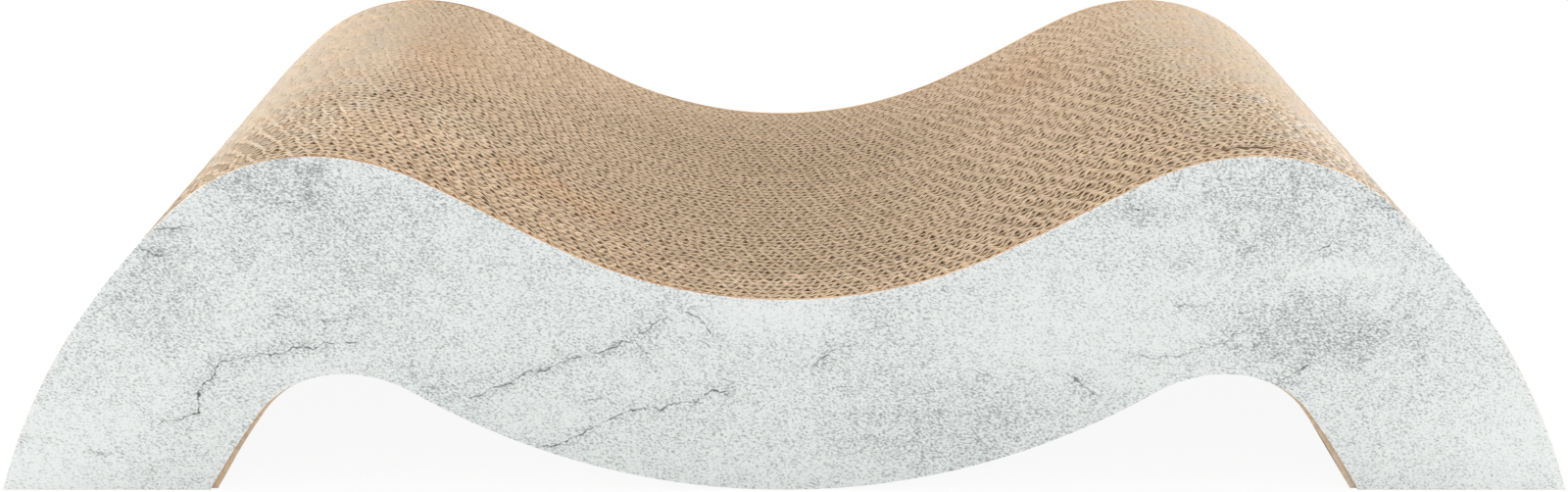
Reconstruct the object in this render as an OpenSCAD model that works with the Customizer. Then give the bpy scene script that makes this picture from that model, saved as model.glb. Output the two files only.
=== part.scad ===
/* [Wave] */
// Length of the scratcher over its two feet
body_len = 700; // [670:1:780]
// Height of the two humps above the floor
hump_h = 157.5; // [140:0.5:180]
// Distance between the crests of the humps
hump_span = 397; // [370:1:420]
// Height of the middle of the valley above the floor
valley_h = 92.5; // [75:0.5:105]
// Radius of each hump on its outer side
shoulder_r = 87; // [70:1:100]
// Angle over which the outer side of a hump turns down before the long flank
shoulder_angle = 41; // [32:1:46]
// Steepest slope between valley and hump, as a share of the slope of two arcs with no straight between them
slope_share = 0.784; // [0.7:0.002:0.9]
// Share of the valley in the radii of valley and hump together
valley_share = 0.676; // [0.6:0.002:0.75]

/* [Underside] */
// Height of the two arches above the floor
arch_h = 57.2; // [45:0.2:65]
// Distance between the crowns of the arches
arch_span = 385.5; // [370:0.5:400]
// Radius of each arch of the boards on the side of its foot
arch_r = 45; // [38:1:50]
// Length of each foot of the boards on the floor
foot_len = 96; // [85:1:105]
// How much shorter the feet of the covers are at their inner ends
cover_foot_cut = 3; // [0:0.5:6]
// How much larger the arch radius of the covers is on the side of the foot
cover_arch_growth = 4; // [0:0.5:6]
// Steepest slope between belly and arch, as a share of the slope of two arcs with no straight between them
belly_slope_share = 0.97; // [0.9:0.01:0.99]
// Share of the belly in the radii of belly and arch together
belly_share = 0.847; // [0.75:0.001:0.88]

/* [Stack] */
// Depth of the scratcher over its two covers, filled by the nearest whole number of board pairs
body_depth = 267.25; // [203.25:8:323.25]
// Thickness of one corrugated board
board_t = 3.95; // [3:0.05:5]
// Thickness of the glue line on each face of a board
glue_t = 0.05; // [0.03:0.01:0.1]
// Thickness of the printed cover on each side of the stack
cover_t = 1.6; // [1:0.1:3]
// Steps in which each arc of the outline is drawn
arc_steps = 8; // [6:1:12]

/* [Hidden] */
boards_per_node = 2;
board_pitch = board_t + glue_t;
pair_pitch = boards_per_node * board_pitch;
pair_count = round((body_depth - 2 * cover_t - glue_t) / pair_pitch);
stack_depth = pair_count * pair_pitch + glue_t;
depth = stack_depth + 2 * cover_t;
cover_colour = [0.84, 0.86, 0.85];
kraft_colour = [0.77, 0.63, 0.47];

// Angles of the lowest and the highest point of a circle
down = -90;
up = 90;

// Right half of the upper edge: valley arc, straight slope, hump, shoulder and flank
hump_x = hump_span / 2;
wave_rise = hump_h - valley_h;
slope = 2 * atan(wave_rise / hump_x) * slope_share;
wave_radii = (hump_x * tan(slope) - wave_rise) / (1 / cos(slope) - 1);
valley_r = wave_radii * valley_share;
hump_r = wave_radii - valley_r;
shoulder_dir = [sin(shoulder_angle), cos(shoulder_angle)];
shoulder_c = [hump_x, hump_h - shoulder_r];
shoulder_end = shoulder_c + shoulder_r * shoulder_dir;
foot_outer = [body_len / 2, 0];
flank_chord = shoulder_end - foot_outer;
flank_r = flank_chord * flank_chord / (2 * flank_chord * shoulder_dir);
flank_c = shoulder_end - flank_r * shoulder_dir;
flank_end_angle = atan2(foot_outer.y - flank_c.y, foot_outer.x - flank_c.x);

// Right half of the lower edge between arch and middle: straight and belly arc
arch_x = arch_span / 2;
belly_slope = 2 * atan(arch_h / arch_x) * belly_slope_share;
belly_radii = (arch_x * tan(belly_slope) - arch_h) / (1 / cos(belly_slope) - 1);
belly_r = belly_radii * belly_share;
crown_r = belly_radii - belly_r;

// Points of an arc about c, from angle a0 to angle a1; first is 1 where the arc before ends at its start
function arc(c, r, a0, a1, first = 0) =
    [for (i = [first:arc_steps]) let (a = a0 + (a1 - a0) * i / arc_steps) c + r * [cos(a), sin(a)]];

upper_half = concat(
    arc([0, valley_h + valley_r], valley_r, down, down + slope),
    arc([hump_x, hump_h - hump_r], hump_r, up + slope, up),
    arc(shoulder_c, shoulder_r, up, up - shoulder_angle, first = 1),
    arc(flank_c, flank_r, up - shoulder_angle, flank_end_angle, first = 1)
);
belly_half = concat(
    arc([arch_x, arch_h - crown_r], crown_r, up, up + belly_slope, first = 1),
    arc([0, belly_r], belly_r, down + belly_slope, down)
);

// Foot of length foot_l, with the straight side and the arc of radius side_r up to the crown of its arch
function foot_part(foot_l, side_r) =
    let (
        foot_inner = [foot_outer.x - foot_l, 0],
        side_c = [arch_x, arch_h - side_r],
        side_reach = side_c - foot_inner,
        side_angle = atan2(side_reach.y, side_reach.x) - asin(side_r / norm(side_reach))
    )
    concat([foot_inner], arc(side_c, side_r, side_angle + down, up));

function mirrored(half) = [for (i = [len(half) - 2:-1:1]) [-half[i].x, half[i].y]];
function outline(foot_l, side_r) =
    let (right_half = concat(upper_half, foot_part(foot_l, side_r), belly_half))
    concat(right_half, mirrored(right_half));

board_outline = outline(foot_len, arch_r);
cover_outline = outline(foot_len - cover_foot_cut, arch_r + cover_arch_growth);

function two_digits(n) = n < 10 ? str("0", n) : str(n);
function pair_name(pair) = str("board_pair_", two_digits(pair));

// One sheet cut to a shape, standing on its long edge, with its front face at y
module sheet(shape, y, t) {
    translate([0, y + t, 0])
        rotate([90, 0, 0])
            linear_extrude(t)
                polygon(shape);
}

// Printed sheet on the front of the stack
module front_cover() {
    color(cover_colour)
        sheet(cover_outline, -depth / 2, cover_t);
}

// Printed sheet on the back of the stack
module back_cover() {
    color(cover_colour)
        sheet(cover_outline, depth / 2 - cover_t, cover_t);
}

// Two neighbouring corrugated boards, a glue line apart; pair 1 is at the front
module board_pair(pair) {
    color(kraft_colour)
        for (i = [0:boards_per_node - 1])
            sheet(
                board_outline,
                -stack_depth / 2 + glue_t + (pair - 1) * pair_pitch + i * board_pitch,
                board_t
            );
}

front_cover();
back_cover();
for (pair = [1:pair_count])
    board_pair(pair);
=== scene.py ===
import math

import bpy
import numpy as np
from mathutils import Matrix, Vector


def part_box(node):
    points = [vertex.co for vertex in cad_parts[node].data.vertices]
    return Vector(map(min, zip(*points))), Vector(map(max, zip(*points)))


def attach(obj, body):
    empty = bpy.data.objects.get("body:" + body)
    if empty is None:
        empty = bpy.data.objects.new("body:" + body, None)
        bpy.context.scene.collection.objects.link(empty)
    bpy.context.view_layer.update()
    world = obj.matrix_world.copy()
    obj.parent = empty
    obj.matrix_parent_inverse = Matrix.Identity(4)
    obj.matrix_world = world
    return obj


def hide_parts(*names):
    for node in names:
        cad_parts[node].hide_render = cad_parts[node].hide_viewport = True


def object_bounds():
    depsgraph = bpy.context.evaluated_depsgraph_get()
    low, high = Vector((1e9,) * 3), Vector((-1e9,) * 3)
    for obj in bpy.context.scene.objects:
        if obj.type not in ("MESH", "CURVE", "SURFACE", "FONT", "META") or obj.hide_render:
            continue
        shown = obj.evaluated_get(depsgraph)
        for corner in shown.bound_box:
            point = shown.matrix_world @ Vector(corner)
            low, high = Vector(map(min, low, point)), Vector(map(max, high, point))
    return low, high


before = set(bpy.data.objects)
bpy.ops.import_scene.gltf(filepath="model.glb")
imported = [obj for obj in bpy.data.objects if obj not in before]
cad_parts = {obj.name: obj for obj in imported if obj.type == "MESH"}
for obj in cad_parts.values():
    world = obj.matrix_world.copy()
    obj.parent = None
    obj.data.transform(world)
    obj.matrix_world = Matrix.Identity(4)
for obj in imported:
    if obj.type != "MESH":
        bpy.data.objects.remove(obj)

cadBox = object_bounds()
mm = 0.001
dice = np.random.RandomState(11)  # one seed, so that every run gives the same object
fullTurn = 2 * math.pi


def srgb(red, green, blue):
    # a colour as it looks on screen, turned by the standard curve into what the shaders work in
    levels = [c / 255 for c in (red, green, blue)]
    return tuple(c / 12.92 if c < 0.04045 else ((c + 0.055) / 1.055) ** 2.4 for c in levels) + (1,)


def link(thing):
    bpy.context.scene.collection.objects.link(thing)
    return thing


# The camera stands where the photograph was taken
shot = {
    "frameWide": 1600,            # pixels across the picture
    "middlePixel": 786,           # column that the camera looks along
    "focalPixels": 1908,          # focal length in pixels
    "pitchDown": 21.55,           # degrees below level
    "beforeFront": 739 * mm,      # from the face of the front cover
    "aboveFloor": 409.3 * mm,
    "aside": -6.2 * mm,           # from the middle of the body, to the right
    "sensorWide": 36,             # millimetres, as cameras have it
}

camera = link(bpy.data.objects.new("camera", bpy.data.cameras.new("camera")))
bpy.context.scene.camera = camera
camera.data.sensor_fit = "HORIZONTAL"
camera.data.sensor_width = shot["sensorWide"]
camera.data.lens = shot["sensorWide"] * shot["focalPixels"] / shot["frameWide"]
camera.data.shift_x = 0.5 - shot["middlePixel"] / shot["frameWide"]
camera.location = (shot["aside"], cadBox[0].y - shot["beforeFront"], shot["aboveFloor"])
camera.rotation_euler = (math.radians(90 - shot["pitchDown"]), 0, 0)
print("camera set")


# Outlines of the sheets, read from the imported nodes
placeDigits = 6                   # whole micrometres, so that corners that meet are the same
faceSlack = 0.1 * mm              # within which a corner counts as on the front face
cornerSlack = 0.01 * mm           # and within which it counts as level with another


def outlineOf(node):
    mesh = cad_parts[node].data
    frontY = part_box(node)[0].y
    places = [tuple(round(c, placeDigits) for c in v.co) for v in mesh.vertices]
    edges = set()
    for polygon in mesh.polygons:
        corners = [places[i] for i in polygon.vertices]
        if all(abs(c[1] - frontY) < faceSlack for c in corners):
            edges.update(zip(corners, corners[1:] + corners[:1]))
    # edges inside the face run both ways, those of the outline only one
    following = {a: b for a, b in edges if (b, a) not in edges}
    ring = [max(following, key=lambda c: (c[0], -c[2]))]
    while following[ring[-1]] != ring[0]:
        ring.append(following[ring[-1]])
    ring = [(c[0], c[2]) for c in ring]
    if ring[1][1] < ring[-1][1]:
        ring = ring[:1] + ring[:0:-1]                # first over the top, then back underneath
    return ring


def smoothEdge(points):
    # height of a smooth curve through the points, for any x between them
    x, z = np.array(sorted(points)).T
    step = np.diff(x)
    chord = np.diff(z) / step
    bend = np.diff(chord) / (step[:-1] + step[1:])
    lean = np.concatenate([
        [chord[0] - bend[0] * step[0]],
        chord[:-1] + bend * step[:-1],
        [chord[-1] + bend[-1] * step[-1]],
    ])

    def height(at):
        i = np.clip(np.searchsorted(x, at) - 1, 0, len(step) - 1)
        t = (at - x[i]) / step[i]
        straight = z[i] + t * (z[i + 1] - z[i])
        bow = lean[i] * (1 - t) - lean[i + 1] * t - chord[i] * (1 - 2 * t)
        return straight + step[i] * t * (1 - t) * bow

    return height


def cutOf(node):
    # how the sheets of a node are cut: upper edge, lower edge, and where each foot ends inside
    ring = outlineOf(node)
    farEnd = min(range(len(ring)), key=lambda i: ring[i][0])
    underneath = ring[farEnd:] + ring[:1]
    footInner = sorted(x for x, z in underneath if z < cornerSlack)[-2]   # the last is the outer end
    archEdge = smoothEdge([p for p in underneath if abs(p[0]) < footInner + cornerSlack])

    def lowerEdge(x):
        return np.where(np.abs(x) < footInner, archEdge(np.clip(x, -footInner, footInner)), 0)

    return {"upper": smoothEdge(ring[:farEnd + 1]), "lower": lowerEdge, "footInner": footInner,
            "end": ring[0][0]}


boardCut = cutOf("board_pair_01")
coverCut = cutOf("front_cover")
bodyEnd = boardCut["end"]


def samples(cut, step):
    # places along the body, with one at each foot's inner end
    count = round(2 * bodyEnd / step)
    feet = (-cut["footInner"], cut["footInner"])
    return np.unique(np.append(np.linspace(-bodyEnd, bodyEnd, count + 1), feet))


print("outlines read")


# Sheets that stand on edge. Each follows a path seen from above and reaches from edge to edge
sheetForm = {
    "tip": 0.4 * mm,              # least height, where the outline runs out to a point
    "pit": 1.5 * mm,              # depth at which crushed paper reaches furthest into the flutes
    "pitLeast": 0.5,              # share of that depth where the knife has crushed everything
    "pitGain": 1.5,               # and how fast it grows with the share that is left open
    "pitFloor": 2.2 * mm,         # depth from which the sheets are as thin as ever
    "sharpAngle": 35,             # degrees; edges sharper than this aren't shaded smooth
}
sheetValues = ("tone", "clean", "belowTop", "aboveFoot")      # kept for the materials, at each point


def standingSheet(cut, x, y, profile, topDrop=0.0, topLean=0.0, tone=0.5, openDeep=None, burrs=None,
                  pits=(0, 0), clean=1.0, shaded=0.0):
    # profile: (distance to the side, distance in from the cut edge) from one face to the other
    # topDrop and topLean: how far the upper edge falls short, and how far it leans to the back
    # tone: from 0 for the darkest paper to 1 for the palest
    # openDeep: the one depth below a cut edge that an outermost sheet is shaded as
    # burrs: how far the knife has spread the upper edge to the front and to the back
    # pits: how far the crushed paper a little lower reaches to the front and to the back
    # clean: from 0, where the knife has crushed the edges, to 1, where it left the flutes open
    # shaded: depth added to the real one where little light gets in beside the sheet
    along = np.stack([np.gradient(x), np.gradient(y)])
    along = along / np.hypot(*along)
    square = {edge: 1 / np.hypot(1, np.gradient(cut[edge](x), x)) for edge in ("upper", "lower")}
    rows = []                     # places, depth below the top and height above the foot of each line
    least = sheetForm["tip"]

    def line(side, above, below, lean=0.0):
        # one line of points along the sheet, above its foot or else below its top
        px = np.clip(x - side * along[1], -bodyEnd, bodyEnd)
        foot = cut["lower"](px)
        top = np.maximum(cut["upper"](px) - topDrop, foot + least)
        z = foot + above if below is None else np.maximum(top - below, foot + least / 2)
        rows.append((np.stack([px, y + side * along[0] + lean, z], 1), top - z, z - foot))

    towards, away = burrs or (0, 0)
    pit = sheetForm["pit"] * np.clip(sheetForm["pitLeast"] + sheetForm["pitGain"] * clean, 0, 1)
    spread = [-towards] + [0] * (len(profile) - 2) + [away]
    for (side, inset), burr in zip(profile, spread):
        line(side + burr, None, inset, topLean)
    if burrs:
        line(profile[-1][0] + pits[1], None, pit)
        line(profile[-1][0], None, sheetForm["pitFloor"])
    for side, inset in profile[::-1]:
        line(side, inset, None)
    if burrs:
        line(profile[0][0], None, sheetForm["pitFloor"])
        line(profile[0][0] - pits[0], None, pit)
    loops, belowTop, aboveFoot = (np.stack([row[i] for row in rows], 1) for i in range(3))
    count, around = loops.shape[:2]
    here = np.arange(around)
    after = (here + 1) % around
    steps = np.arange(count - 1)[:, None] * around
    sides = np.stack([steps + here, steps + here + around, steps + after + around, steps + after], 2)
    ends = [list(here), list((count - 1) * around + here[::-1])]
    if openDeep is not None:
        belowTop = aboveFoot = np.full((count, around), openDeep)
    return {
        "places": loops.reshape(-1, 3),
        "faces": sides.reshape(-1, 4).tolist() + ends,
        "tone": np.full(count * around, tone),
        "clean": (np.ones((count, around)) * np.reshape(clean, (-1, 1))).ravel(),
        "belowTop": (belowTop * square["upper"][:, None] + np.reshape(shaded, (-1, 1))).ravel(),
        "aboveFoot": (aboveFoot * square["lower"][:, None]).ravel(),
    }


def pieceOf(name, sheets, materials, node):
    faces, start = [], 0
    for sheet in sheets:
        faces += [[i + start for i in face] for face in sheet["faces"]]
        start += len(sheet["places"])
    mesh = bpy.data.meshes.new(name)
    mesh.from_pydata(np.concatenate([sheet["places"] for sheet in sheets]).tolist(), [], faces)
    for kept in sheetValues:
        values = np.concatenate([sheet[kept] for sheet in sheets])
        mesh.attributes.new(kept, "FLOAT", "POINT").data.foreach_set("value", values)
    mesh.shade_smooth()
    mesh.set_sharp_from_angle(angle=math.radians(sheetForm["sharpAngle"]))
    for material in materials:
        mesh.materials.append(material)
    piece = link(bpy.data.objects.new(name, mesh))
    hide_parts(node)
    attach(piece, "root")
    return piece


# Shader nodes in short
nodeRows = {"count": 10, "across": 220, "down": 300}          # how nodes lie in the editor
noiseSpan = (0.3, 0.7)            # most of a noise lies between these
noiseMiddle = (0.5, 0.5, 0.5)     # and its colours lie about this


def feed(tree, socket, value):
    if isinstance(value, bpy.types.NodeSocket):
        tree.links.new(value, socket)
    else:
        socket.default_value = value


def put(tree, kind, inputs=None, **settings):
    made = tree.nodes.new("ShaderNode" + kind)
    row, column = divmod(len(tree.nodes), nodeRows["count"])
    made.location = (column * nodeRows["across"], -row * nodeRows["down"])
    for name, value in settings.items():
        setattr(made, name, value)
    for name, value in (inputs or {}).items():
        feed(tree, made.inputs[name], value)
    return made


def sums(tree, operation, *values, clamp=False):
    made = put(tree, "Math", dict(enumerate(values)), operation=operation, use_clamp=clamp)
    return made.outputs[0]


def vectors(tree, operation, *values):
    made = put(tree, "VectorMath", dict(enumerate(values)), operation=operation)
    return made.outputs["Value" if operation in ("DOT_PRODUCT", "LENGTH", "DISTANCE") else "Vector"]


def ramp(tree, value, low, high, atLow=0.0, atHigh=1.0):
    between = {"Value": value, "From Min": low, "From Max": high, "To Min": atLow, "To Max": atHigh}
    return put(tree, "MapRange", between, interpolation_type="SMOOTHSTEP").outputs["Result"]


def mixed(tree, amount, first, second, way="MIX"):
    # Mix has sockets of its own for colours: 6 and 7 in, 2 out
    made = put(tree, "Mix", {0: amount, 6: first, 7: second}, data_type="RGBA", blend_type=way)
    return made.outputs[2]


def noise(tree, place, size, detail=2.0, roughness=0.5):
    inputs = {"Vector": place, "Scale": 1 / size, "Detail": detail, "Roughness": roughness}
    return put(tree, "TexNoise", inputs).outputs


def swings(tree, place, size, far, detail=2.0, roughness=0.5):
    # a noise about zero, up to far either way
    return ramp(tree, noise(tree, place, size, detail, roughness)["Fac"], *noiseSpan, -far, far)


def newGroup(name, takes, gives):
    tree = bpy.data.node_groups.new(name, "ShaderNodeTree")
    for socketName, kind, value in takes:
        socket = tree.interface.new_socket(socketName, in_out="INPUT", socket_type="NodeSocket" + kind)
        if value is not None:
            socket.default_value = value
    for socketName, kind in gives:
        tree.interface.new_socket(socketName, in_out="OUTPUT", socket_type="NodeSocket" + kind)
    return tree, tree.nodes.new("NodeGroupInput").outputs, tree.nodes.new("NodeGroupOutput").inputs


def useGroup(tree, group, inputs):
    return put(tree, "Group", inputs, node_tree=group).outputs


def emptyTree(owner):
    owner.use_nodes = True
    owner.node_tree.nodes.clear()
    return owner.node_tree


def newMaterial(name):
    # with places in millimetres, so that sizes in the materials are too
    material = bpy.data.materials.new(name)
    tree = emptyTree(material)
    shader = put(tree, "BsdfPrincipled")
    tree.links.new(shader.outputs[0], put(tree, "OutputMaterial").inputs["Surface"])
    place = vectors(tree, "MULTIPLY", put(tree, "TexCoord").outputs["Object"], (1 / mm,) * 3)
    return material, tree, shader, place


def finish(tree, shader, colour, fibre, look):
    # gives a material its colour, and the gloss and relief of its fibres
    tree.links.new(colour, shader.inputs["Base Color"])
    tree.links.new(ramp(tree, fibre, 0, 1, *look["rough"]), shader.inputs["Roughness"])
    shader.inputs["Specular IOR Level"].default_value = look["specular"]
    shader.inputs["Sheen Weight"].default_value = look["sheen"]
    high = look["relief"] * mm
    relief = put(tree, "Bump", {"Height": fibre, "Strength": look["bump"], "Distance": high})
    tree.links.new(relief.outputs["Normal"], shader.inputs["Normal"])


# Fibres of paper, longest from left to right
fibreSlant = (0.7, 0, 0.5)        # how much a step to the right and a step up also count as one back


def paperFibreGroup():
    takes = [("Place", "Vector", None), ("Length", "Float", 0.8), ("Stretch", "Float", 2.5),
             ("Octaves", "Float", 3.0), ("Harshness", "Float", 0.65)]
    tree, given, taken = newGroup("paperFibre", takes, [("Fibre", "Float")])
    stretch = given["Stretch"]
    squeeze = put(tree, "CombineXYZ", {"X": 1.0, "Y": stretch, "Z": stretch}).outputs[0]
    squeezed = vectors(tree, "MULTIPLY", given["Place"], squeeze)
    back = vectors(tree, "DOT_PRODUCT", squeezed, fibreSlant)
    slanted = vectors(tree, "ADD", squeezed, put(tree, "CombineXYZ", {"Y": back}).outputs[0])
    size = sums(tree, "DIVIDE", 1.0, given["Length"])
    fine = put(tree, "TexNoise", {"Vector": slanted, "Scale": size, "Detail": given["Octaves"],
                                  "Roughness": given["Harshness"]})
    feed(tree, taken["Fibre"], ramp(tree, fine.outputs["Fac"], *noiseSpan))
    return tree


# A patch with a ragged edge
patchFade = (0.35, 1.25)          # from where to where it fades, as shares of its half size


def softPatchGroup():
    takes = [("Place", "Vector", None), ("Centre", "Vector", None), ("Reach", "Vector", (10, 10, 10)),
             ("Ragged", "Float", 0.5)]
    tree, given, taken = newGroup("softPatch", takes, [("Mask", "Float")])
    away = vectors(tree, "SUBTRACT", given["Place"], given["Centre"])
    away = vectors(tree, "LENGTH", vectors(tree, "DIVIDE", away, given["Reach"]))
    away = sums(tree, "ADD", away, given["Ragged"])
    feed(tree, taken["Mask"], ramp(tree, away, *patchFade, 1.0, 0.0))
    return tree


# One straight stretch of a crack, on places that are already warped
def crackStrokeGroup():
    takes = [("Place", "Vector", None), ("From", "Vector", None), ("To", "Vector", None),
             ("Width", "Float", 0.5), ("Reach", "Float", 8.0)]
    tree, given, taken = newGroup("crackStroke", takes, [("Mask", "Float"), ("Near", "Float")])
    along = vectors(tree, "SUBTRACT", given["To"], given["From"])
    reach = vectors(tree, "SUBTRACT", given["Place"], given["From"])
    share = sums(tree, "DIVIDE", vectors(tree, "DOT_PRODUCT", reach, along),
                 vectors(tree, "DOT_PRODUCT", along, along), clamp=True)
    nearest = put(tree, "VectorMath", {"Vector": along, "Scale": share}, operation="SCALE")
    away = vectors(tree, "DISTANCE", reach, nearest.outputs["Vector"])
    feed(tree, taken["Mask"], ramp(tree, away, 0.0, given["Width"], 1.0, 0.0))
    feed(tree, taken["Near"], ramp(tree, away, 0.0, given["Reach"], 1.0, 0.0))
    return tree


paperFibre = paperFibreGroup()
softPatch = softPatchGroup()
crackStroke = crackStrokeGroup()

# Brown paper of the boards. Sizes and depths in millimetres
kraft = {
    "rim": srgb(220, 193, 161),   # frayed paper at a cut edge
    "wall": srgb(234, 207, 174),
    "deep": srgb(140, 108, 76),   # painted shade inside the flutes, below the cut edge
    "rimDeep": 0.5,               # depth below the cut edge where the rim has passed into the wall
    "wallDeep": 0.65,             # where the painted shade on the wall begins, and where it is as dark as it gets
    "darkDeep": 1.15,
    "pressedSize": 38,            # across a patch where the cut edges are pressed smooth
    "pressedSpan": (0.35, 0.65),  # values of its noise over which it fades in
    "pressedShare": 0.3,          # how much of the painted shade inside the flutes is taken away there
    "tatter": 0.45,               # how far the frayed rim, and with it the edge of the painted shade, reaches up and down
    "tatterSize": 3.2,
    "tatterSpan": (0.25, 0.75),
    "mottleSize": 3.4,            # small stains and bruises all over
    "mottleShare": 0.2,
    "paleTone": 1.08,             # share of light that the palest and the darkest sheet give back
    "darkTone": 0.82,
    "evenTone": 0.68,             # the same where the knife has crushed the edges
    "leastUneven": 0.2,           # how much of their own tone the sheets keep there
    "fibreLong": 0.9,
    "fibreStretch": 0.5,
    "rough": (0.95, 0.8),         # between the fibres and on them
    "specular": 0.2,
    "sheen": 0.12,
    "bump": 0.6,                  # how strongly the relief of the fibres shows, and how high it is
    "relief": 0.05,
    "ragged": 0.35,               # how far the edges of the patches below stray, as a share of their size
    "raggedSize": 18,
    # stains, painted highlights and painted haze: middle and half size seen from above, in millimetres,
    # and what the colour is multiplied by there
    "stainsAndPaintedLight": [
        # the pale strip at x -198, along the left crest, is a painted highlight
        ((-198, -20), (12, 110), (1.04, 1.07, 1.11)), ((-150, -48), (18, 20), (1.10, 1.14, 1.20)),
        ((-170, 36), (22, 46), (1.00, 0.95, 0.90)), ((-104, -68), (34, 18), (1.02, 0.96, 0.89)),
        ((-185, -85), (60, 40), (1.10, 1.12, 1.14)), ((-90, -105), (60, 14), (1.08, 1.10, 1.12)),
        ((-22, -114), (30, 10), (1.10, 1.12, 1.14)), ((30, -116), (60, 16), (1.08, 1.09, 1.10)),
        # the pale strip at x 190, along the right crest, is a painted highlight
        ((126, 72), (20, 40), (0.96, 0.92, 0.88)), ((190, 20), (14, 110), (1.02, 1.05, 1.09)),
        # those at (-180, 84) and (0, 60) make the back of the left crest and the middle of the top
        # darker
        ((212, -58), (30, 40), (1.06, 1.08, 1.10)), ((-180, 84), (34, 60), (0.92, 0.92, 0.92)),
        ((0, 60), (110, 110), (0.94, 0.93, 0.92)),
        # painted haze of reflected light on both flanks down to the floor, and a painted highlight,
        # paler still, on the right one
        ((-300, 10), (90, 260), (0.86, 0.92, 1.03)), ((300, 10), (90, 260), (0.90, 0.98, 1.13)),
        ((262, -90), (40, 60), (1.11, 1.18, 1.27)),
    ],
}


def kraftMaterial():
    material, tree, shader, place = newMaterial("kraftBoard")
    tone, clean, belowTop, aboveFoot = (
        put(tree, "Attribute", attribute_name=kept).outputs["Fac"] for kept in sheetValues)
    tatter = noise(tree, place, kraft["tatterSize"], detail=3, roughness=0.7)["Fac"]
    tatter = ramp(tree, tatter, *kraft["tatterSpan"], -kraft["tatter"], kraft["tatter"])
    depth = sums(tree, "MULTIPLY", sums(tree, "MINIMUM", belowTop, aboveFoot), 1 / mm)
    depth = sums(tree, "ADD", depth, tatter)
    pressed = noise(tree, place, kraft["pressedSize"], detail=3, roughness=0.6)["Fac"]
    pressed = ramp(tree, pressed, *kraft["pressedSpan"], 1.0, 1 - kraft["pressedShare"])
    # painted shade: the walls darken with depth below the cut edge, less in the pressed patches
    dark = sums(tree, "MULTIPLY", ramp(tree, depth, kraft["wallDeep"], kraft["darkDeep"]), pressed)
    colour = mixed(tree, ramp(tree, depth, 0.0, kraft["rimDeep"]), kraft["rim"], kraft["wall"])
    colour = mixed(tree, dark, colour, kraft["deep"])
    mottle = noise(tree, place, kraft["mottleSize"], detail=3, roughness=0.7)["Fac"]
    uneven = sums(tree, "ADD", ramp(tree, tone, 0, 1, kraft["darkTone"], kraft["paleTone"]),
                  ramp(tree, mottle, *noiseSpan, -kraft["mottleShare"], 0.0))
    keeps = sums(tree, "MULTIPLY_ADD", clean, 1 - kraft["leastUneven"], kraft["leastUneven"])
    shade = mixed(tree, keeps, (kraft["evenTone"],) * 3 + (1,), uneven)
    colour = mixed(tree, 1.0, colour, shade, "MULTIPLY")
    fromAbove = vectors(tree, "MULTIPLY", place, (1, 1, 0))
    ragged = swings(tree, fromAbove, kraft["raggedSize"], kraft["ragged"], detail=3, roughness=0.6)
    for centre, reach, tint in kraft["stainsAndPaintedLight"]:
        mask = useGroup(tree, softPatch, {"Place": fromAbove, "Centre": (*centre, 0),
                                          "Reach": (*reach, 1), "Ragged": ragged})["Mask"]
        colour = mixed(tree, mask, colour, (*tint, 1), "MULTIPLY")
    fibre = useGroup(tree, paperFibre, {"Place": place, "Length": kraft["fibreLong"],
                                        "Stretch": kraft["fibreStretch"]})["Fibre"]
    finish(tree, shader, colour, fibre, kraft)
    return material


# Concrete pattern printed on the covers. Sizes in millimetres, places as (x, z)
concrete = {
    "pale": srgb(229, 232, 230),
    "speck": srgb(132, 137, 138),
    "crack": srgb(70, 73, 75),
    "speckLong": 1.6,
    "speckStretch": 1.8,
    "speckOctaves": 4.0,
    "speckHarsh": 0.75,
    "speckSoft": 0.40,            # how gently a speck fades
    "speckDark": 0.95,
    "speckShare": 0.25,           # how many specks there are away from every patch
    "cloudSize": 60,
    "cloudShare": 0.05,           # how much the clouds add to that or take away
    "mottleSize": 7,              # smaller clouds within the large ones
    "mottleShare": 0.07,
    "patchShare": 0.5,            # how strongly the patches below show
    "ragged": 0.45,               # how far their edges stray, as a share of their size
    "raggedSize": 16,
    "bigWarp": (10, 7),           # size of the bends of a crack, and how far they go
    "smallWarp": (2.6, 2.6),
    "crackWide": 0.55,
    "crackDark": 0.95,
    "crackHalo": 0.12,            # how many more specks there are beside a crack
    "gapSize": 7,                 # length of the stretches where a crack is thin
    "gapSpan": (0.35, 0.6),       # values of their noise over which it widens again
    "gapWide": 0.25,              # share of its width that a crack keeps there
    "rough": (0.5, 0.7),          # between the specks and on them
    "specular": 0.3,
    "sheen": 0.0,
    "bump": 0.6,
    "relief": 0.02,
}

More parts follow.
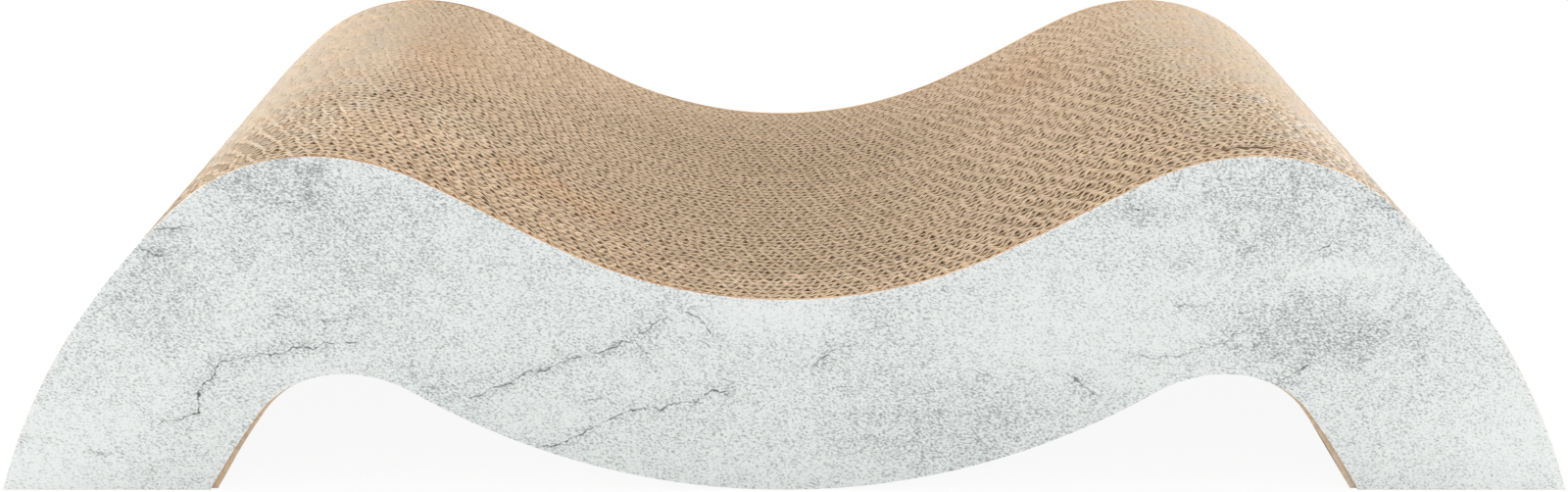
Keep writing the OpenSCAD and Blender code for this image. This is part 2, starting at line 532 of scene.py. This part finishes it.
frontPrint = {
    # middle, half size and how much more the specks show there
    "patches": [
        ((-222, 148), (30, 13), 0.34), ((-270, 96), (24, 34), 0.28), ((-185, 118), (52, 34), 0.20),
        ((206, 140), (42, 26), 0.26), ((232, 76), (44, 22), 0.34), ((60, 36), (44, 28), 0.26),
        ((40, 90), (18, 10), 0.22), ((150, 132), (22, 8), 0.24), ((-50, 30), (34, 14), 0.12),
        # those at (-322, 14) and (330, 22), at the feet, have fewer specks: painted light against the
        # shade near the floor
        ((-4, 84), (44, 9), -0.22), ((128, 74), (52, 24), -0.16), ((-322, 14), (44, 34), -0.22),
        ((330, 22), (34, 42), -0.20), ((-100, 36), (30, 14), -0.16), ((240, 106), (30, 5), -0.22),
        ((-205, 58), (24, 9), -0.10), ((-212, 142), (9, 5), -0.30), ((180, 98), (28, 9), -0.14),
    ],
    # points along each crack and how dark it is
    "cracks": [
        ([(-276, 32), (-258, 38), (-258, 46), (-246, 62), (-234, 66), (-214, 69), (-186, 73)], 1.0),
        ([(-164, 59), (-150, 49), (-134, 54)], 0.5),
        ([(-138, 46), (-110, 58), (-84, 67), (-66, 72), (-56, 82)], 0.9),
        ([(-66, 74), (-60, 68)], 0.7),
        ([(-42, 86), (-36, 84), (-32, 77)], 1.0),
        ([(-90, 43), (-80, 47), (-74, 43)], 0.7),
        ([(-112, 21), (-96, 24), (-84, 31), (-70, 39), (-48, 42), (-26, 50)], 1.0),
        ([(12, 62), (26, 71)], 0.9),
        ([(24, 76), (46, 81)], 0.35),
        ([(66, 97), (80, 97)], 0.4),
        ([(80, 60), (91, 54)], 0.7),
        ([(94, 41), (95, 34)], 0.7),
        ([(126, 57), (134, 48)], 0.9),
        ([(145, 136), (152, 133)], 0.8),
        ([(167, 90), (180, 89)], 0.5),
        ([(152, 65), (172, 66), (186, 71), (202, 80)], 0.55),
        ([(214, 52), (228, 61)], 0.9),
        ([(226, 116), (242, 124)], 0.8),
        ([(230, 68), (250, 70)], 0.5),
        ([(246, 76), (270, 86)], 0.5),
        ([(246, 135), (258, 134)], 0.6),
        ([(-214, 137), (-200, 139)], 0.7),
        ([(-276, 116), (-266, 112)], 0.8),
        ([(-252, 114), (-243, 112)], 0.6),
        ([(-266, 126), (-250, 126)], 0.8),
        ([(-218, 87), (-208, 82)], 0.6),
        ([(-199, 82), (-186, 84)], 0.7),
        ([(-340, 28), (-324, 24)], 0.35),
        ([(-313, 20), (-303, 19)], 0.5),
    ],
}

backPrint = {
    "patches": [
        ((-210, 130), (50, 28), 0.26), ((-120, 84), (36, 16), 0.22), ((30, 46), (60, 24), 0.24),
        ((170, 112), (46, 22), 0.22), ((262, 70), (30, 40), 0.30), ((-280, 50), (30, 30), -0.16),
        ((-60, 74), (36, 12), -0.20), ((110, 66), (34, 20), -0.18), ((322, 16), (44, 30), -0.20),
        ((210, 140), (40, 12), -0.18),
    ],
    "cracks": [
        ([(-262, 108), (-236, 112), (-214, 104), (-190, 108)], 0.9),
        ([(-150, 92), (-128, 82), (-104, 80), (-86, 66), (-60, 62)], 1.0),
        ([(-40, 30), (-16, 38), (2, 36), (26, 48)], 0.8),
        ([(70, 88), (92, 92)], 0.6),
        ([(120, 60), (146, 74), (170, 76), (196, 90), (224, 88)], 0.9),
        ([(200, 124), (216, 130)], 0.7),
        ([(-318, 30), (-300, 40)], 0.5),
        ([(270, 44), (284, 60), (282, 74)], 0.7),
    ],
}


def flatPlace(x, z):
    return (x, 0, z)


def concretePrint(name, layout):
    material, tree, shader, place = newMaterial(name)
    flat = vectors(tree, "MULTIPLY", place, (1, 0, 1))
    ragged = swings(tree, flat, concrete["raggedSize"], concrete["ragged"], detail=4, roughness=0.6)
    clouds = swings(tree, flat, concrete["cloudSize"], 1.0, detail=4)
    mottle = swings(tree, flat, concrete["mottleSize"], 1.0, detail=3, roughness=0.6)
    amount = sums(tree, "MULTIPLY_ADD", clouds, concrete["cloudShare"], concrete["speckShare"])
    amount = sums(tree, "MULTIPLY_ADD", mottle, concrete["mottleShare"], amount)
    for centre, reach, more in layout["patches"]:
        mask = useGroup(tree, softPatch, {"Place": flat, "Centre": flatPlace(*centre),
                                          "Reach": (reach[0], 1, reach[1]), "Ragged": ragged})["Mask"]
        amount = sums(tree, "MULTIPLY_ADD", mask, more * concrete["patchShare"], amount)
    warped = flat
    for size, far in (concrete["bigWarp"], concrete["smallWarp"]):
        off = vectors(tree, "SUBTRACT", noise(tree, flat, size)["Color"], noiseMiddle)
        warped = vectors(tree, "MULTIPLY_ADD", off, (far, 0, far), warped)
    gaps = noise(tree, flat, concrete["gapSize"])["Fac"]
    gaps = ramp(tree, gaps, *concrete["gapSpan"], concrete["gapWide"], 1.0)
    width = sums(tree, "MULTIPLY", gaps, concrete["crackWide"])
    cracked, near = 0.0, 0.0
    for points, dark in layout["cracks"]:
        for start, stop in zip(points, points[1:]):
            stroke = useGroup(tree, crackStroke, {"Place": warped, "From": flatPlace(*start),
                                                  "To": flatPlace(*stop), "Width": width})
            cracked = sums(tree, "MAXIMUM", sums(tree, "MULTIPLY", stroke["Mask"], dark), cracked)
            near = sums(tree, "MAXIMUM", sums(tree, "MULTIPLY", stroke["Near"], dark), near)
    amount = sums(tree, "MULTIPLY_ADD", near, concrete["crackHalo"], amount)
    fibre = useGroup(tree, paperFibre, {
        "Place": flat, "Length": concrete["speckLong"], "Stretch": concrete["speckStretch"],
        "Octaves": concrete["speckOctaves"], "Harshness": concrete["speckHarsh"]})["Fibre"]
    scarce = sums(tree, "SUBTRACT", 1.0, amount)
    specks = ramp(tree, fibre, sums(tree, "SUBTRACT", scarce, concrete["speckSoft"]),
                  sums(tree, "ADD", scarce, concrete["speckSoft"]), 0.0, concrete["speckDark"])
    colour = mixed(tree, specks, concrete["pale"], concrete["speck"])
    cracked = sums(tree, "MULTIPLY", cracked, concrete["crackDark"])
    colour = mixed(tree, cracked, colour, concrete["crack"])
    finish(tree, shader, colour, fibre, concrete)
    return material


# Cut edges of the covers. Sizes in millimetres
coreLook = {
    "pale": srgb(208, 176, 140),
    "brown": srgb(170, 124, 82),
    "patchLong": 60,              # across a pale or a brown patch
    "patchSpan": (0.35, 0.65),    # values of the noise over which one passes into the other
    "fibreShare": 0.35,           # how far single fibres stray from the colour of their patch
    "fibreLong": 2.2,
    "fibreStretch": 2.0,
    "rough": (0.95, 0.8),
    "specular": 0.2,
    "sheen": 0.0,
    "bump": 0.6,
    "relief": 0.05,
}


def coreMaterial():
    material, tree, shader, place = newMaterial("coverCore")
    fibre = useGroup(tree, paperFibre, {"Place": place, "Length": coreLook["fibreLong"],
                                        "Stretch": coreLook["fibreStretch"]})["Fibre"]
    pale = ramp(tree, noise(tree, place, coreLook["patchLong"])["Fac"], *coreLook["patchSpan"])
    strays = ramp(tree, fibre, 0, 1, -coreLook["fibreShare"], coreLook["fibreShare"])
    pale = sums(tree, "ADD", pale, strays, clamp=True)
    finish(tree, shader, mixed(tree, pale, coreLook["brown"], coreLook["pale"]), fibre, coreLook)
    return material


kraftBoard = kraftMaterial()
coverCore = coreMaterial()
print("materials made")


# Corrugated boards: two liners and a fluted medium each, glued in a stack
board = {
    "liner": 0.30 * mm,
    "medium": 0.36 * mm,
    "burr": 0.70 * mm,            # how far the knife has spread each cut edge, times spreadOf
    "foldBurr": 0.90 * mm,        # and the front liner, which it has pushed over the flutes
    "crush": 1.6 * mm,            # how far crushed paper reaches into the flutes, at most
    "flutePitch": 7.7 * mm,
    "mediumSteps": 8,             # steps of the medium along each flute
    "linerSteps": 4,              # and of the liners
    "pitchSpread": 0.002,         # share by which the flute pitch differs from board to board
    "turn": 0.225,                # share of a flute by which each board starts before the one in front
    "turnSpread": 0.14,
    "slip": 0.9 * mm,             # how far flutes stray from even spacing
    "slipLength": 12 * mm,
    "drift": 2.4 * mm,            # and how much further on the right slope and the left flank
    "driftLength": 19 * mm,
    "driftPlaces": (-230 * mm, -190 * mm, 10 * mm, 80 * mm),
    "driftShares": (1, 0, 0, 1),  # how much of it there is at each of these places
    "washboard": 0.70 * mm,       # how far the flutes press the liners out of line
    "stackWander": 0.5 * mm,      # how far the rows stray from straight, many together
    "waveCount": 4,               # in this many waves
    "waveLong": (80 * mm, 220 * mm),                          # so long from left to right
    "waveDeep": (100 * mm, 400 * mm),                         # and from front to back
    "seamWander": 0.25 * mm,      # how far each row strays for itself
    "seamLength": 21 * mm,
    "sink": 0.3 * mm,             # about how far a board may stand lower than its neighbours
    "sinkLength": 40 * mm,
    "openDeep": 0.55 * mm,        # shade of the bare faces of the stack, as a depth below a cut edge
    "rimRough": 0.80 * mm,        # how far a liner's cut edge falls short, at most
    "mediumRough": 0.45 * mm,     # and the medium's, which tears
    "rimBend": 0.60 * mm,         # how far a cut edge leans to the side, at most
    "rimLength": 2.4 * mm,        # over which a cut edge changes
    "linerTone": (0.4, 1.0),      # from darkest, 0, to palest, 1
    "mediumTone": (0.0, 0.5),
}

# Two boards have come apart at the top of the right hump
looseSeam = {
    "afterBoard": 3,
    "from": 182 * mm,
    "to": 210 * mm,
    "fade": 10 * mm,              # over which the seam opens at either end
    "wide": 2.2 * mm,
    "shade": 1.3,                 # depth added for painted shade in the slit, for each millimetre of its width
}

pairNodes = sorted(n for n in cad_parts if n.startswith("board_pair_"))
pairBoxes = [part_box(n) for n in pairNodes]
glueLine = pairBoxes[1][0].y - pairBoxes[0][1].y
boardThick = (pairBoxes[0][1].y - pairBoxes[0][0].y - glueLine) / 2
boardFronts = [lo.y + i * (boardThick + glueLine) for lo, hi in pairBoxes for i in (0, 1)]
stackMiddle = (pairBoxes[0][0].y + pairBoxes[-1][1].y) / 2
stackHalf = pairBoxes[-1][1].y - stackMiddle


def alongNoise(x, size, length):
    # random wander along x, up to size either way, that changes over length
    knots = np.arange(-bodyEnd - length, bodyEnd + 2 * length, length)
    return np.interp(x, knots, dice.uniform(-size, size, len(knots)))


waves = [
    (dice.uniform(*board["waveLong"]), dice.uniform(*board["waveDeep"]), dice.uniform(0, fullTurn))
    for _ in range(board["waveCount"])
]


def stackWander(x, y):
    # most in the middle of the stack and none at its faces; four waves seldom add up to more than two
    freedom = np.cos(math.pi / 2 * (y - stackMiddle) / stackHalf)
    return board["stackWander"] * freedom * sum(
        np.sin(fullTurn * (x / long + y / deep) + start) for long, deep, start in waves) / 2


mediumX = samples(boardCut, board["flutePitch"] / board["mediumSteps"])
linerX = samples(boardCut, board["flutePitch"] / board["linerSteps"])
flutes, start = [], 0             # where the flutes of each board start, how they stray, and their pitch
for y in boardFronts:
    pitch = board["flutePitch"] * (1 + dice.uniform(-1, 1) * board["pitchSpread"])
    slip = alongNoise(mediumX, board["slip"], board["slipLength"])
    drift = alongNoise(mediumX, board["drift"], board["driftLength"])
    slip = slip + drift * np.interp(mediumX, board["driftPlaces"], board["driftShares"])
    start += board["flutePitch"] * (board["turn"] + dice.uniform(-1, 1) * board["turnSpread"])
    flutes.append((start, slip, pitch))


def fluteWave(number, x):
    # 1 where the flutes of a board touch its back liner, -1 where they touch its front liner
    if not 0 <= number < len(flutes):
        return 0 * x
    start, slip, pitch = flutes[number]
    return np.sin(fullTurn * (start + x + np.interp(x, mediumX, slip)) / pitch)


seamWanders = [
    alongNoise(mediumX, board["seamWander"], board["seamLength"]) for _ in range(len(flutes) + 1)]


def seamGap(seam, x):
    # how wide a seam gapes where its boards have come apart
    if seam != looseSeam["afterBoard"]:
        return 0 * x
    inside = np.minimum(x - looseSeam["from"], looseSeam["to"] - x) / looseSeam["fade"]
    return looseSeam["wide"] * np.clip(inside, 0, 1)


def seamShift(number, x, behind):
    # how far the liner in front of a seam, -1, or behind it, 1, is out of line; the covers stay flat
    if number in (0, len(flutes)):
        return 0 * x
    pressed = board["washboard"] / 2 * (fluteWave(number - 1, x) + fluteWave(number, x))
    wander = np.interp(x, mediumX, seamWanders[number])
    return pressed + wander + behind * seamGap(number, x) / 2


# How far the knife left the flutes open, from 0 to 1
knifeCut = {
    "front": 0.70,                # at the front and at the back
    "back": 0.38,
    "open": 0.62,                 # above this no flute is closed
    "fade": 0.60,                 # and this far below it all are
    "mostSpread": 1.5,            # times its size for a burr at 0, and one less at 1
    "leastDrop": 0.15,            # share of its unevenness that a cut edge keeps at 0
    "patchEnd": 1.3,              # where a patch ends, in half sizes
    # middle and half size seen from above, in millimetres, and how much more they are open there
    "patches": [
        ((-185, -85), (58, 46), 0.35), ((-110, -112), (74, 24), 0.35), ((-55, -108), (40, 24), 0.20),
        ((212, -58), (28, 40), 0.25), ((165, -110), (42, 22), 0.20), ((-246, 20), (52, 160), -0.6),
        ((244, 20), (50, 160), -0.6), ((-180, 60), (50, 60), -0.20), ((190, 90), (40, 50), -0.12),
        ((0, 70), (90, 60), 0.12), ((122, -30), (70, 120), -0.07),
    ],
}


def cleanCut(x, y):
    share = np.interp(y, (-stackHalf, stackHalf), (knifeCut["front"], knifeCut["back"]))
    for middle, reach, more in knifeCut["patches"]:
        away = np.hypot(*((at / mm - m) / r for at, m, r in zip((x, y), middle, reach)))
        share = share + more * np.clip(knifeCut["patchEnd"] - away, 0, 1)
    return np.clip(share, 0, 1)


def spreadOf(clean):
    return knifeCut["mostSpread"] - clean


def pitOf(clean):
    return board["crush"] * np.clip((knifeCut["open"] - clean) / knifeCut["fade"], 0, 1)


def dropOf(clean):
    return knifeCut["leastDrop"] + (1 - knifeCut["leastDrop"]) * clean


def ragged(x, most):
    return np.abs(alongNoise(x, most, board["rimLength"]))


def boardSheets(number):
    front = boardFronts[number]
    halfLiner = board["liner"] / 2
    halfMedium = board["medium"] / 2
    sink = dice.uniform(0, board["sink"])
    sink = sink + np.abs(alongNoise(mediumX, board["sink"] / 2, board["sinkLength"]))
    sink = sink * dropOf(cleanCut(mediumX, front))
    sheets = []
    for seam, y in ((number, front + halfLiner), (number + 1, front + boardThick - halfLiner)):
        frontLiner = seam == number
        line = y + stackWander(linerX, y) + seamShift(seam, linerX, 1 if frontLiner else -1)
        clean = cleanCut(linerX, y)
        fold = ragged(linerX, board["foldBurr"] if frontLiner else board["burr"]) * spreadOf(clean)
        outermost = seam in (0, len(flutes))
        sheets.append(standingSheet(
            boardCut, linerX, line, [(-halfLiner, 0), (halfLiner, 0)],
            burrs=(0, fold) if frontLiner else (fold, 0),
            pits=(0, pitOf(clean)) if frontLiner else (pitOf(clean), 0),
            topDrop=(np.interp(linerX, mediumX, sink) * (not outermost)
                     + ragged(linerX, board["rimRough"]) * dropOf(clean)),
            clean=clean,
            # painted shade in the slit where two boards have come apart
            shaded=seamGap(seam, linerX) * looseSeam["shade"],
            topLean=alongNoise(linerX, board["rimBend"], board["rimLength"]) / 2,
            tone=dice.uniform(*board["linerTone"]),
            openDeep=board["openDeep"] if outermost else None))
    middle = front + boardThick / 2
    reach = (boardThick - board["medium"]) / 2 - board["liner"]
    wave = fluteWave(number, mediumX)
    ahead = seamShift(number, mediumX, 1)
    behind = seamShift(number + 1, mediumX, -1)
    pressed = (ahead * (1 - wave) + behind * (1 + wave)) / 2      # it follows the liner that it touches
    line = middle + stackWander(mediumX, middle) + reach * wave + pressed
    clean = cleanCut(mediumX, middle)
    sheets.append(standingSheet(
        boardCut, mediumX, line, [(-halfMedium, 0), (halfMedium, 0)],
        burrs=[ragged(mediumX, board["burr"]) * spreadOf(clean) for _ in range(2)],
        pits=[pitOf(clean)] * 2,
        topDrop=sink + ragged(mediumX, board["mediumRough"]) * dropOf(clean),
        clean=clean,
        topLean=alongNoise(mediumX, board["rimBend"], board["rimLength"]),
        tone=dice.uniform(*board["mediumTone"])))
    return sheets


for pair, node in enumerate(pairNodes):
    sheets = boardSheets(2 * pair) + boardSheets(2 * pair + 1)
    pieceOf("boardPair" + node[-2:], sheets, [kraftBoard], node)
print("boards built:", len(boardFronts))


# Printed covers on both sides of the stack
cover = {
    "step": 2 * mm,               # along the body
    "edgeRound": 0.2 * mm,        # bevel round the printed face
    "printedFrom": 0.5,           # a face that looks outwards more than this carries the print
}


def coverPiece(name, node, facing, printed):
    # facing: -1 for a printed face at the front, 1 for one at the back
    lo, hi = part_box(node)
    half = (hi.y - lo.y) / 2
    bevel = cover["edgeRound"]
    profile = [(-half, bevel), (bevel - half, 0), (half, 0)]
    if facing > 0:
        profile = [(-half, 0), (half - bevel, 0), (half, bevel)]
    x = samples(coverCut, cover["step"])
    sheet = standingSheet(coverCut, x, np.full(len(x), lo.y + half), profile)
    piece = pieceOf(name, [sheet], [printed, coverCore], node)
    for face in piece.data.polygons:
        face.material_index = 0 if face.normal.y * facing > cover["printedFrom"] else 1


coverPiece("frontCover", "front_cover", -1, concretePrint("frontPrint", frontPrint))
coverPiece("backCover", "back_cover", 1, concretePrint("backPrint", backPrint))
print("covers built")


# Floor, light and surroundings
studio = {
    "floorWide": 12,              # metres
    "floor": (0.9, 0.9, 0.9, 1),
    "white": (1, 1, 1, 1),        # what the camera sees of the sky, and most of the floor
    "shadowShare": 0.07,          # how much of the floor's own shading the camera sees
    "sky": 0.79,                  # strength at which the sky lights the object
    "lamps": [
        # where it stands, how wide it is in metres and its power; each looks at the middle of the body
        ("lampLeft", (-1.9, 0, 0.6), 1.4, 42),
        ("lampRight", (1.9, 0, 0.6), 1.4, 42),
    ],
}


def seenByCamera(tree):
    # 1 for rays to the camera, straight or by way of something shiny or clear, and 0 for all others
    rays = put(tree, "LightPath").outputs
    onward = sums(tree, "MAXIMUM", rays["Is Glossy Ray"], rays["Is Transmission Ray"])
    return sums(tree, "MAXIMUM", rays["Is Camera Ray"], onward)


world = bpy.data.worlds.new("studioSky")
bpy.context.scene.world = world
tree = emptyTree(world)
strength = ramp(tree, seenByCamera(tree), 0, 1, studio["sky"], 1.0)
sky = put(tree, "Background", {"Color": studio["white"], "Strength": strength})
tree.links.new(sky.outputs[0], put(tree, "OutputWorld").inputs["Surface"])

half = studio["floorWide"] / 2
corners = [(-half, -half, 0), (half, -half, 0), (half, half, 0), (-half, half, 0)]
mesh = bpy.data.meshes.new("floor")
mesh.from_pydata(corners, [], [(0, 1, 2, 3)])
floor = link(bpy.data.objects.new("floor", mesh))
floorPaint = bpy.data.materials.new("floorPaint")
tree = emptyTree(floorPaint)
matte = put(tree, "BsdfDiffuse", {"Color": studio["floor"]})
glow = put(tree, "Emission", {"Color": studio["white"], "Strength": 1.0})
share = sums(tree, "MULTIPLY", seenByCamera(tree), 1 - studio["shadowShare"])
both = put(tree, "MixShader", {0: share, 1: matte.outputs[0], 2: glow.outputs[0]})
tree.links.new(both.outputs[0], put(tree, "OutputMaterial").inputs["Surface"])
mesh.materials.append(floorPaint)

middle = (cadBox[0] + cadBox[1]) / 2
for name, spot, size, power in studio["lamps"]:
    data = bpy.data.lights.new(name, "AREA")
    data.shape = "SQUARE"
    data.size = size
    data.energy = power
    lamp = link(bpy.data.objects.new(name, data))
    lamp.location = spot
    lamp.rotation_euler = (middle - lamp.location).to_track_quat("-Z", "Y").to_euler()

bpy.context.scene.view_settings.view_transform = "Standard"
print("studio lit")
